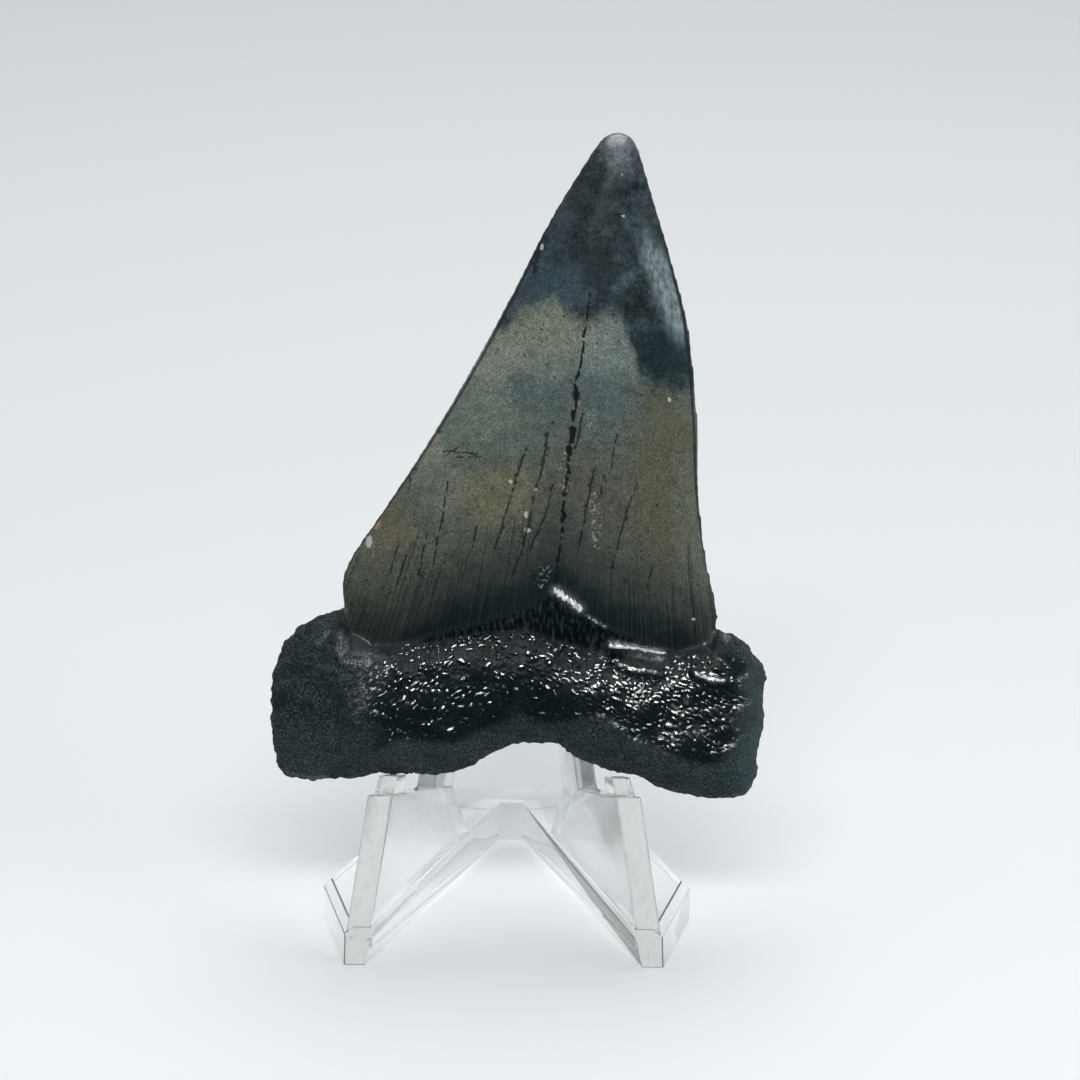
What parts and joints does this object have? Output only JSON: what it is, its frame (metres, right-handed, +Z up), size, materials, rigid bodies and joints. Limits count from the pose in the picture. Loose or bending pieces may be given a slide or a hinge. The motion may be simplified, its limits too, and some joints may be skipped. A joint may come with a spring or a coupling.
{
  "type": "fossil shark tooth on display stand",
  "caption": "Broad smooth-edged fossil shark tooth with a dark two-lobed root, resting in a small clear moulded stand with upright fins, nibs and rear posts.",
  "frame": {"origin": "on the table, below the middle of the bounding box", "axes": "+X to the right and -Y towards the side that the stand shows, +Z up"},
  "size_m": [0.0486, 0.0338, 0.0754],
  "materials": {
    "clear_plastic": "clear moulded plastic, polished, with a few bubbles",
    "fossil_tooth": "semi-gloss mottled enamel over a glossy black wrinkled root"
  },
  "bodies": {
    "root": {"display_stand": "clear_plastic", "tooth": "fossil_tooth"}
  },
  "joints": []
}
